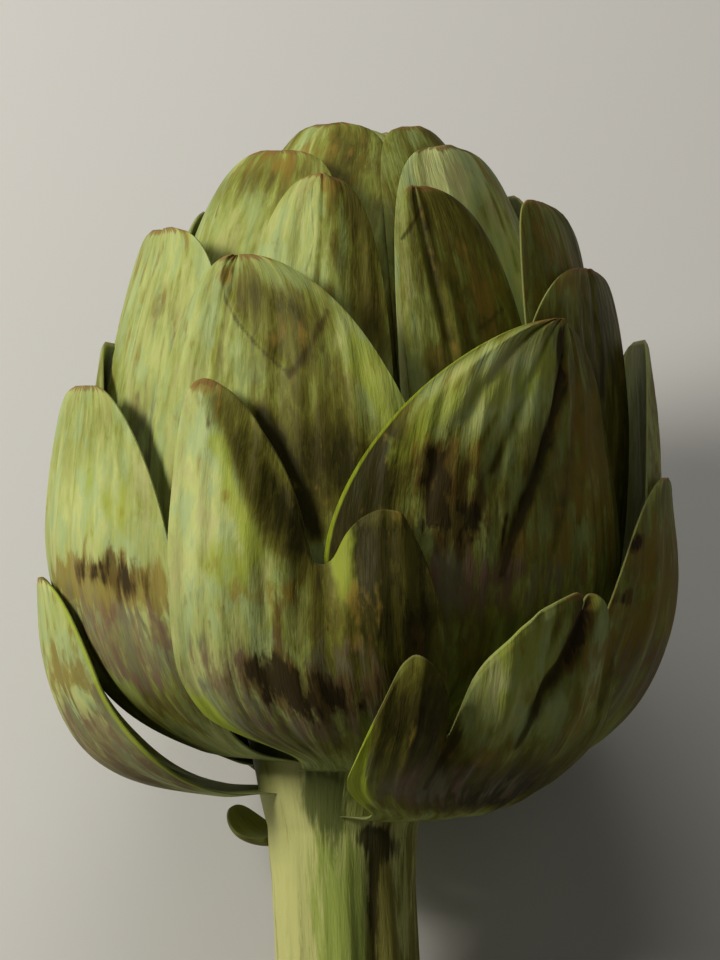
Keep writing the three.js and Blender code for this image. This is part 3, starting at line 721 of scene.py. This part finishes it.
def paint(leaf, a, p, v, drop, seed):
    """The marks of one bract. depth is how dark its green is, painted shade included; the others run
    from 0
    to about 1: bruise, blush, warm, lime, crease (painted shade along creases), lip (near a margin), tip
    and foot (where the base turns into the neck). Folds, given as their drop in mm, are darker: painted
    shade."""
    own = MARKS.get(leaf["label"], {})
    draw = np.random.default_rng(seed + 900)
    if not own:
        dots = [
            (draw.uniform(-0.7, 0.7), draw.uniform(0.5, 0.85), 0.12, 0.06, draw.uniform(0.3, 1.0))
            for _ in range(3)
        ]
        outer = float(smooth(leaf["layer"], 6, 15))
        own = dict(
            depth=0.34 + 0.14 * outer + draw.uniform(-0.05, 0.05),
            bruise=dots,
            blush=[(0, 0.45, 1.2, 0.12, 0.9 * outer)],
            warm=[(draw.uniform(-0.5, 0.5), 0.7, 0.5, 0.1, 0.7)],
            deep=[(0, 0.3, 1.5, 0.1, 0.2), (draw.uniform(-0.8, 0.8), 0.8, 0.4, 0.15, 0.2)],
        )
    marks = {}
    for key in ("bruise", "blush", "warm", "lime", "crease"):
        painted = lines(leaf, a, p, own.get(key + "_lines", []))
        marks[key] = np.maximum(spots(a, p, own.get(key, [])), painted)
    # Folds darken the green as painted shade, more the further they drop.
    marks["depth"] = own["depth"] + FOLD_SHADE * drop + spots(a, p, own.get("deep", []))
    marks["depth"] += lines(leaf, a, p, own.get("deep_lines", []), np.add)
    left, right = own.get("lip", LIP_PALE)
    rim = smooth(np.abs(a), 1 - LIP_WIDTH / leaf["half"], 1 - 0.3 * LIP_WIDTH / leaf["half"])
    marks["lip"] = np.where(a < 0, left, right) * rim * smooth(p, 0.1, 0.3)
    for hand, width, at_p, size_p, strength in own.get("rim", []):
        near = smooth(hand * a, 1 - width, 1 - 0.4 * width)
        marks["lip"] += strength * near * np.exp(-(((p - at_p) / size_p) ** 2))
    marks["tip"] = smooth(p / p.max(), TIP_START, 1.0) * smooth(v, 0.95, 1.0)
    foot = own.get("neck", FOOT_END)
    marks["foot"] = 1 - smooth(p, foot * 0.6, foot * 1.2)
    return marks


# %% Build every bract
PLAIN_GRID = (64, 72)  # cells across and along a blade
FINE_GRID = (140, 150)  # the same, for bracts with painted lines
CROWDING = 0.96 * np.pi / 2  # the closer to a right angle, the more columns crowd at the margins
RIM_THICK = 0.35  # mm of blade at the very edge
FIBRE_SPREAD = 0.3  # 1: the fibres close on the tip like the margins; 0: they stay parallel
BASE_BLEND = 0.12  # share of the length over which the base thins and sinks
BASE_THIN = 0.7  # share of its thickness that the base loses
BASE_SINK = 0.55  # mm, so no step shows where a bract leaves the neck
MAP_STEP = np.array([61.0, 17.0])  # mm from one blade's map to the next, so that no two look alike
INNER_STEP = np.array([0.0, 500.0])  # and from the outer face's to the inner one's


def build_blade(leaf, seed):
    """The fine blade that stands for one bract."""
    lined = any(key.endswith("lines") for key in MARKS.get(leaf["label"], {}))
    na, nv = FINE_GRID if lined else PLAIN_GRID
    a_line = np.sin(np.linspace(-1, 1, na + 1) * CROWDING) / np.sin(CROWDING)
    a, v = np.meshgrid(a_line, np.linspace(0, 1, nv + 1), indexing="ij")
    at = blade_frame(leaf, a, v)
    side = FIBRE_SPREAD * a + (1 - FIBRE_SPREAD) * at["u"]
    fold = folds(leaf["label"], a, at["p"])
    base = 1 - smooth(at["p"], 0, BASE_BLEND)
    relief = ribs(leaf, a, side, at["p"], seed) + swells(a, at["p"], seed)
    relief = relief * smooth(at["half"], 2, 14) + fold - BASE_SINK * base
    edge = (1 - np.abs(a) ** 8) * (1 - smooth(v, 0.97, 1) * 0.5)
    thick = (RIM_THICK + (at["thick"] - RIM_THICK) * edge) * (1 - BASE_THIN * base)
    outer = blade_point(at, at["roll"] + relief + thick)
    inner = blade_point(at, at["roll"] + relief)
    points = laid(np.concatenate([outer.reshape(-1, 3), inner.reshape(-1, 3)]))
    uv = np.stack([side * leaf["half"], at["p"] * at["length"]], -1).reshape(-1, 2) + MAP_STEP * seed
    uv = np.concatenate([uv, uv + INNER_STEP])
    marks = paint(leaf, a, at["p"], v, -fold, seed)
    both = {key: np.tile(values.ravel(), 2) for key, values in marks.items()}
    both["inside"] = np.repeat([0.0, 1.0], a.size)
    piece = add_piece("fine_" + leaf["label"], points, blade_faces(na, nv).tolist(), uv, both)
    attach(piece, "root")
    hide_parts(leaf["name"])
    return piece


blades = [build_blade(item, k + 1) for k, item in enumerate(leaves)]
print(len(blades), "blades,", sum(len(b.data.polygons) for b in blades) * 2, "triangles")

# %% [markdown]
# ## Shader expressions
#
# A small wrapper round a node socket lets a material be written as sums and products. Each operator
# adds one Math node. Colours go through Mix nodes, and coats of colour are laid on one by one.

# %% Socket wrapper


def overload(operation, swapped=False):
    """A method that adds a Math node. It is swapped where the socket stands on the right."""

    def method(self, other):
        pair = (other, self) if swapped else (self, other)
        return node(self.tree, "ShaderNodeMath", dict(operation=operation), *pair)

    return method


class Sock:
    """A node socket that can be used in expressions."""

    __add__, __radd__ = overload("ADD"), overload("ADD", swapped=True)
    __sub__, __rsub__ = overload("SUBTRACT"), overload("SUBTRACT", swapped=True)
    __mul__, __rmul__ = overload("MULTIPLY"), overload("MULTIPLY", swapped=True)

    def __init__(self, tree, socket):
        self.tree, self.socket = tree, socket

    def clamp(self, low=0.0, high=1.0):
        return node(self.tree, "ShaderNodeClamp", {}, self, low, high)

    def band(self, low, high):
        """0 below low, 1 above high, smooth between."""
        smoothly = dict(interpolation_type="SMOOTHSTEP")
        return node(self.tree, "ShaderNodeMapRange", smoothly, self, low, high, 0.0, 1.0)


def node(tree, kind, settings, *values, out=0, **named):
    """Add a node of a type, apply its settings (the stops of a ramp among them), then fill its sockets
    in order and by name. None leaves a socket as it is."""
    new = tree.nodes.new(kind)
    for key, value in settings.items():
        if key == "stops":
            places = new.color_ramp.elements
            while len(places) < len(value):
                places.new(0.5)
            for place, (position, colour) in zip(places, value):
                place.position = position
                place.color = (*colour, 1.0)
        else:
            setattr(new, key, value)
    for key, value in list(enumerate(values)) + list(named.items()):
        if value is None:
            continue
        target = new.inputs[key.replace("_", " ") if isinstance(key, str) else key]
        if isinstance(value, Sock):
            tree.links.new(value.socket, target)
        elif target.type == "RGBA":
            target.default_value = (*value, 1.0)
        else:
            target.default_value = value
    return Sock(tree, new.outputs[out])


def blend(tree, low, high, factor):
    """Mix two colours. A Mix node's colours are its sockets 6 and 7, and its output 2."""
    colours = (None, None, None, None, None, low, high)
    return node(tree, "ShaderNodeMix", dict(data_type="RGBA"), factor, *colours, out=2)


def coated(tree, colour, coats):
    """A colour with coats laid over it in order, each a colour and how much of it covers."""
    for coat, cover in coats:
        colour = blend(tree, colour, coat, cover)
    return colour


def mark(tree, name):
    """A value painted on the mesh."""
    return node(tree, "ShaderNodeAttribute", dict(attribute_name=name), out=2)


def material(name, roughness, gloss=0.08):
    """An empty Principled material: returns it, its tree and its shader node."""
    new = bpy.data.materials.new(name)
    new.use_nodes = True
    shader = new.node_tree.nodes["Principled BSDF"]
    shader.inputs["Roughness"].default_value = roughness
    shader.inputs["Specular IOR Level"].default_value = gloss
    return new, new.node_tree, shader


def dress(tree, shader, colour, relief, height):
    """Give a shader its colour, and bumps from a relief, height metres high."""
    bump = node(tree, "ShaderNodeBump", {}, Strength=0.5, Distance=height, Height=relief)
    tree.links.new(colour.socket, shader.inputs["Base Color"])
    tree.links.new(bump.socket, shader.inputs["Normal"])


# %% [markdown]
# ## Bract skin
#
# The skin is laid down as overlapping streaks that run with the fibres. Noise is stretched along the
# blade by scaling the map unequally, and cutting it into a few flat levels turns it into strokes with
# ragged ends. Added to the painted depth, which holds some painted shade, the strokes pick a green from
# a ramp that runs from pale wax to nearly black. Stains, blush, bruises, the painted shade of creases,
# margins and tips follow, broken up by the same strokes.

# %% Leaf material


def streaks(flow, across, along, detail=3.0, roughness=0.6, offset=0.0):
    """Noise on a map, stretched and centred on 0: across and along are the stroke sizes in mm."""
    scale = (1 / across, 1 / along, 1)
    place = (offset, offset * 1.7, offset)
    scaled = node(flow.tree, "ShaderNodeMapping", {}, flow, place, (0, 0, 0), scale)
    settings = dict(noise_dimensions="2D")
    how = dict(Scale=1.0, Detail=detail, Roughness=roughness, Distortion=0.25)
    return node(flow.tree, "ShaderNodeTexNoise", settings, scaled, **how) - 0.5


def levels(noise):
    """Noise cut into flat steps, spread to -0.5..0.5: three soft thresholds added up."""
    steps = noise.band(-0.1, -0.075) + noise.band(-0.015, 0.01) + noise.band(0.07, 0.095)
    return steps * 0.333 - 0.5


GREENS = [
    (0.0, (0.50, 0.54, 0.20)), (0.22, (0.34, 0.38, 0.11)), (0.42, (0.21, 0.235, 0.042)),
    (0.6, (0.138, 0.13, 0.019)), (0.78, (0.08, 0.074, 0.01)), (1.0, (0.032, 0.028, 0.005)),
]
WAX = (0.30, 0.41, 0.21)
ROSE = (0.40, 0.34, 0.16)
LIME = (0.30, 0.35, 0.035)
OLIVE = (0.11, 0.088, 0.016)
OCHRE = (0.23, 0.155, 0.025)
UMBER = (0.10, 0.06, 0.011)
DARK = (0.026, 0.019, 0.007)
PLUM = (0.18, 0.11, 0.07)
ASH = (0.17, 0.15, 0.085)
EDGE = (0.34, 0.42, 0.02)
TAN = (0.20, 0.11, 0.03)
NECK = (0.16, 0.19, 0.045)
FLESH = (0.42, 0.46, 0.17)
# Painted shade: the near-black laid along creases.
CREASE_SHADE = (0.05, 0.037, 0.01)

leaf_skin, tree, shader = material("bract_skin", 0.5)
flow = node(tree, "ShaderNodeUVMap", dict(uv_map="flow"))
broad = streaks(flow, 8.0, 20.0)
hue = streaks(flow, 5.0, 11.0, 4.0, offset=21.0)
fibre = streaks(flow, 0.5, 6.0, 2.0, offset=11.3)
medium = streaks(flow, 2.8, 9.0, 3.0, 0.55, offset=3.1) + fibre * 0.1
fine = streaks(flow, 1.3, 5.0, 3.0, 0.5, offset=7.7) + fibre * 0.1
blotch = streaks(flow, 5.0, 6.0, 3.0, 0.5, offset=19.0)
rays = streaks(flow, 2.0, 26.0, 2.0, 0.5, offset=27.0)
bold, crisp, rayed = levels(medium), levels(fine), levels(rays)

depth = mark(tree, "depth")
reach = (depth * 1.1 + 0.12).clamp(0.0, 0.62)
strokes = (bold * 0.34 + crisp * 0.16 + rayed * 0.1 + broad * 0.7) * reach
green = node(tree, "ShaderNodeValToRGB", dict(stops=GREENS), depth + strokes)
pale = (0.85 - depth * 1.3).clamp()
tint = hue + fine * 0.3
shade = (depth * 2.0 - 0.6).clamp() * (1.6 - depth * 1.3).clamp()
dull = (fine * 0.5 + rays * 0.4 - hue).band(0.0, 0.1) * shade
lime = (mark(tree, "lime") + medium * 1.2 + blotch * 0.8).band(0.25, 0.9)
warm = (mark(tree, "warm") + blotch * 1.8 + bold * 0.5 + fine).band(0.35, 1.0)
mottle = (bold * 0.55 + fine * 1.2 + rayed * 0.6 + broad).clamp(-0.45, 0.9)
blush = mark(tree, "blush")
blush = (blush + mottle * (0.3 + blush * 0.8)).band(0.25, 1.0)
purple = blend(tree, PLUM, ASH, (hue + rays * 0.8).band(-0.06, 0.06))
bruise = mark(tree, "bruise")
burn = (bruise + mottle * (0.35 + bruise * 0.4)).band(0.35, 0.9)
patchy = (bold * 0.6 + fine * 1.8 + blotch * 1.4).clamp(-0.5, 0.9)
core = (bruise + patchy * (0.3 + bruise * 0.5)).band(0.7, 1.15)

coats = [
    (OLIVE, dull * 0.55),
    (WAX, tint.band(-0.02, 0.12) * pale * 0.7),
    (ROSE, (tint * -1.0).band(0.04, 0.16) * pale * 0.45),
    (LIME, lime * 0.75),
    (OCHRE, warm * 0.75),
    (purple, blush * (0.7 + crisp * 0.3)),
    (UMBER, burn * 0.85),
    (DARK, core * 0.85),
    # Painted shade along the creases and folds.
    (CREASE_SHADE, (mark(tree, "crease") + fine * 0.6).band(0.25, 0.8) * 0.8),
    (NECK, mark(tree, "foot") * (0.6 + bold * 0.5)),
    (EDGE, (mark(tree, "lip") + fine * 0.4).band(0.3, 0.9) * 0.8),
    (TAN, (mark(tree, "tip") + fine * 1.6).band(0.45, 0.8) * 0.8),
    (FLESH, mark(tree, "inside") * 0.6),
]
relief = medium * 0.5 + fine * 0.3 + rays * 0.25 + fibre * 0.12
dress(tree, shader, coated(tree, green, coats), relief, 0.0008)
rough = 0.54 + fine * 0.2 + core * 0.1
tree.links.new(rough.socket, shader.inputs["Roughness"])
for blade in blades:
    blade.data.materials.append(leaf_skin)
print("leaf material:", len(tree.nodes), "nodes")

# %% [markdown]
# ## Stem
#
# The stem is a fibrous stalk with blunt ribs, one deeper groove at the front, and a flare where it
# becomes the receptacle. It is one profile turned round the axis, pushed in and out by the ribs, and
# closed at the cut with rings that shrink to the middle. Where it lies on the table it is flattened.

# %% Stem mesh


def stem_radius(h):
    """Radius of the stalk at height h: nearly straight, then flaring into the receptacle."""
    layers = np.array([16, 15, 13.5, 12, 10, 8, 6, 4, 2, 1, 0.0])
    ring_r, ring_h = leaf_root(layers)
    foot = -STEM_LENGTH
    heights = np.concatenate([[foot, foot + 0.6, foot * 0.66, foot * 0.33, -8, -5.5, -3], ring_h - 0.2])
    radii = np.concatenate([STEM_RADIUS + np.array([-0.5, 0, -0.1, 0, 0.1, 0.3, 0.5]), ring_r - 0.5])
    return np.interp(h, heights, radii)


def stem_relief(angle, h):
    """Ribs down the stalk: eight broad ones, finer ones between, and a groove at the front right
    between two ribs of its own. They fade out towards the head."""
    wander = 0.12 * np.sin(h / 9.0)
    relief = 0.3 * np.cos(8 * angle + 0.6)
    relief = relief + 0.10 * np.cos(19 * angle + 1.0 + wander * 6)
    relief = relief + 0.06 * np.cos(31 * angle + 2.2 - wander * 9)
    groove = (0.42 + 0.25 * wander, 0.12, -0.9)
    for middle, width, height in (groove, (0.75, 0.16, 0.35), (0.05, 0.07, 0.3)):
        relief = relief + height * np.exp(-(((angle - middle) / width) ** 2))
    return relief * smooth(-h, -10, 30)


def round_axis(radius, angle, h):
    """Head-frame points at a radius, an azimuth and a height."""
    return pairs(radius * np.sin(angle), -radius * np.cos(angle), h)


def pairs(*columns):
    """Arrays of any shapes that fit together, side by side as the columns of one array."""
    return np.stack(np.broadcast_arrays(*columns), axis=-1)


def rings_piece(name, points, uv_mm, marks, low, high):
    """A closed piece from rings of points (n rings, m round), capped by a fan to low and to high."""
    rows, m = points.shape[:2]
    index = np.arange(rows * m).reshape(rows, m)
    wrap = np.roll(index, -1, axis=1)
    side = np.stack([index[:-1], wrap[:-1], wrap[1:], index[1:]], -1).reshape(-1, 4)
    centre = np.full(m, rows * m)
    caps = [np.stack([centre, wrap[0], index[0]], -1), np.stack([centre + 1, index[-1], wrap[-1]], -1)]
    faces = side.tolist() + caps[0].tolist() + caps[1].tolist()
    every = laid(np.concatenate([points.reshape(-1, 3), [low, high]]))
    uv = np.concatenate([uv_mm.reshape(-1, 2), uv_mm[[0, -1], 0]])
    full = {key: np.append(values, values[[0, -1], [0, -1]]) for key, values in marks.items()}
    return add_piece(name, every, faces, uv, full)


# Ovals as for the bracts, but placed by degrees round the stalk and height in mm.
STEM_MARKS = {
    "green": [(-12, -14, 14, 22, 0.7), (8, -25, 12, 30, 0.8), (60, -20, 60, 50, 0.5),
              (180, -20, 70, 60, 0.3), (-180, -20, 70, 60, 0.3)],
    "olive": [(30, -20, 13, 40, 1.1), (58, -20, 25, 40, 0.5), (95, -20, 30, 60, 0.6),
              (-85, -20, 15, 50, 0.4)],
    # neck is painted shade: the dark under front_split's base, at the front of the stalk's top.
    "neck": [(-18, 7, 16, 6, 1.2), (-5, 1, 9, 7, 0.7), (-60, 4, 12, 3, 0.4)],
    "scar": [(22, 0, 15, 2.2, 1.3), (42, -2.5, 14, 3.0, 1.0), (24, -8, 7, 8, 0.9),
             (26, -30, 4.5, 22, 0.75)],
}
STEM_TOP = 33.0  # inside the head
STEM_MAP = 12.0  # mm on the map for each radian round the stalk
DISH = 0.35  # mm that the cut's middle stands in from its rim
CUT_RINGS = 24


def build_stem(n_round=256, n_up=150):
    """Rings that grow from the middle of the cut to its rim, then climb the stalk into the head."""
    angle = np.linspace(-np.pi, np.pi, n_round, endpoint=False)[None, :]
    grow = np.concatenate([np.linspace(0.03, 0.97, CUT_RINGS), np.ones(n_up + 1)])[:, None]
    climb = np.linspace(-STEM_LENGTH + 0.7, STEM_TOP, n_up)
    h = np.concatenate([np.full(CUT_RINGS + 1, -STEM_LENGTH), climb])[:, None]
    radius = (stem_radius(h) + stem_relief(angle, h)) * grow
    flat = h < -STEM_LENGTH + 0.01
    cut = grow * flat
    bundles = 0.10 * np.cos(26 * angle) * smooth(cut, 0.7, 0.85) * (1 - smooth(cut, 0.88, 0.97))
    height = h + DISH * (1 - smooth(cut, 0.0, 0.9)) * flat - bundles
    points = round_axis(radius, angle, height)
    uv = pairs(angle * STEM_MAP, h)
    turn, up = np.broadcast_arrays(np.degrees(angle), h)
    marks = {key: spots(turn, up, ovals) for key, ovals in STEM_MARKS.items()}
    marks["cut"] = cut + 0 * angle
    low, high = [0, 0, -STEM_LENGTH + DISH], [0, 0, STEM_TOP]
    piece = rings_piece("fine_stem", points, uv, marks, low, high)
    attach(piece, "root")
    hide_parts("stem")
    return piece


stem = build_stem()
print("stem radius at the joint:", round(float(stem_radius(0)), 2))

# %% [markdown]
# ## Stem skin and heart
#
# The stalk is paler and yellower than the bracts, with long fibres, olive stripes and a brown scar
# under the right-hand bract, and painted shade at the front of its top, under the front bract. Its cut
# end is pale, with a ring of fibre bundles. The heart bud inside is a dome of the youngest bracts,
# folded into a swirl; it takes the bracts' skin.

# %% Stem material
STRAW = (0.52, 0.52, 0.19)
STALK_GREEN = (0.30, 0.37, 0.075)
STALK_OLIVE = (0.17, 0.15, 0.028)
# Painted shade under the front bract's base.
STALK_NECK_SHADE = (0.10, 0.12, 0.03)
PITH = (0.62, 0.63, 0.40)

stem_skin, tree, shader = material("stem_skin", 0.5)
flow = node(tree, "ShaderNodeUVMap", dict(uv_map="flow"))
fibre = streaks(flow, 0.35, 9.0, 2.0, offset=13.0)
broad = streaks(flow, 4.0, 26.0)
medium = streaks(flow, 1.8, 12.0, 4.0, offset=5.0) + fibre * 0.12
fine = streaks(flow, 0.7, 7.0, 4.0, offset=9.0) + fibre * 0.12
bold = levels(medium)
cut = mark(tree, "cut")
ragged = bold * 0.5 + fine * 1.4 + broad
end = blend(tree, PITH, STRAW, (fine * 0.6 + cut * 0.3).band(0.1, 0.5))
coats = [
    (STALK_GREEN, (mark(tree, "green") + ragged * 0.7).band(0.1, 0.9)),
    (OCHRE, (bold + fine * 1.2).band(0.45, 0.8) * 0.3),
    (STALK_OLIVE, (mark(tree, "olive") + ragged * 0.6).band(0.3, 0.9) * 0.9),
    # Painted shade at the neck, under front_split's base.
    (STALK_NECK_SHADE, (mark(tree, "neck") + ragged * 0.5).band(0.3, 0.9) * 0.9),
    (DARK, (mark(tree, "scar") + ragged * 0.7).band(0.4, 1.0) * 0.85),
    (end, cut.band(0.0, 0.02)),
]
dress(tree, shader, coated(tree, STRAW, coats), medium * 0.5 + fine * 0.5, 0.0005)
stem.data.materials.append(stem_skin)


# %% Heart bud
HEART_GAP = 1.7  # mm inside the innermost layer
HEART_RISE = 65.2  # the dome's height above the waist
HEART_TOP = 113.6
HEART_FOLD = 0.9  # mm deep
HEART_MAP = 20.0  # mm on the map for each radian
HEART_DEPTH = 0.3  # its green, as for a bract


def build_heart(n_round=120, n_up=90):
    """A dome (an ellipse turned round the axis) whose upper part is folded by a five-pointed wave that
    turns as it climbs."""
    angle = np.linspace(-np.pi, np.pi, n_round, endpoint=False)[None, :]
    climb = np.radians(np.linspace(0, 84, n_up))[:, None]
    reach = CORE_RADIUS - HEART_GAP
    base_h = leaf_root(0)[1] + 0.15
    r = np.concatenate([[[reach - 1.2], [reach - 0.4]], reach * np.cos(climb)])
    h = np.concatenate([[[base_h], [base_h + 5]], WAIST_H + HEART_RISE * np.sin(climb)])
    radius = r - HEART_FOLD * smooth(h, 85, 108) * (0.5 + 0.5 * np.cos(5 * angle + 0.09 * h))
    points = round_axis(radius, angle, h)
    flat = np.zeros_like(radius)
    names = ("bruise", "blush", "warm", "lime", "crease", "lip", "tip", "foot", "inside")
    marks = {key: flat for key in names} | dict(depth=flat + HEART_DEPTH)
    low, high = [0, 0, base_h], [0, 0, HEART_TOP]
    piece = rings_piece("fine_heart", points, pairs(angle * HEART_MAP, h), marks, low, high)
    piece.data.materials.append(leaf_skin)
    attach(piece, "root")
    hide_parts("heart_bud")
    return piece


heart = build_heart()
print("heart:", len(heart.data.polygons), "faces; stem:", len(stem.data.polygons), "faces")

# %% [markdown]
# ## Stage
#
# A plain pale floor and three soft lamps. The main one stands high at the left, so the bracts on that
# side are bright and the relief of the right side falls into shade.

# %% Floor and lamps
FLOOR_HALF = 3.0  # m
PAPER = (0.62, 0.61, 0.59)
WARM_WHITE = (1.0, 0.97, 0.90)
HEAD_MIDDLE = np.array([0, 0, 60.0])
ROOM_LIGHT = 0.05

floor_mesh = bpy.data.meshes.new("floor")
corners = [(x * FLOOR_HALF, y * FLOOR_HALF, 0) for x, y in ((-1, -1), (1, -1), (1, 1), (-1, 1))]
floor_mesh.from_pydata(corners, [], [(0, 1, 2, 3)])
floor_skin, _, floor_shader = material("floor_paper", 0.8)
floor_shader.inputs["Base Color"].default_value = (*PAPER, 1)
floor_mesh.materials.append(floor_skin)
floor_object = add_object("floor", floor_mesh)


def lamp(name, spot, power, size, colour):
    """A square area lamp (W, m) at a head-frame spot, aimed at the head's middle."""
    data = bpy.data.lights.new(name, "AREA")
    data.energy = power
    data.size = size
    data.color = colour
    look(add_object(name, data), spot, HEAD_MIDDLE)


lamp("key", (-540, -330, 330), 4.4, 0.2, WARM_WHITE)
lamp("fill", (300, -600, 100), 0.21, 0.6, WARM_WHITE)
lamp("top", (-60, -170, 600), 1.0, 0.3, (1.0, 0.98, 0.94))
world = bpy.data.worlds.new("studio")
world.use_nodes = True
background = world.node_tree.nodes["Background"]
background.inputs["Color"].default_value = (*WARM_WHITE, 1)
background.inputs["Strength"].default_value = ROOM_LIGHT
bpy.context.scene.world = world
bpy.context.scene.view_settings.view_transform = "Standard"
print("lamps:", len(bpy.data.lights))
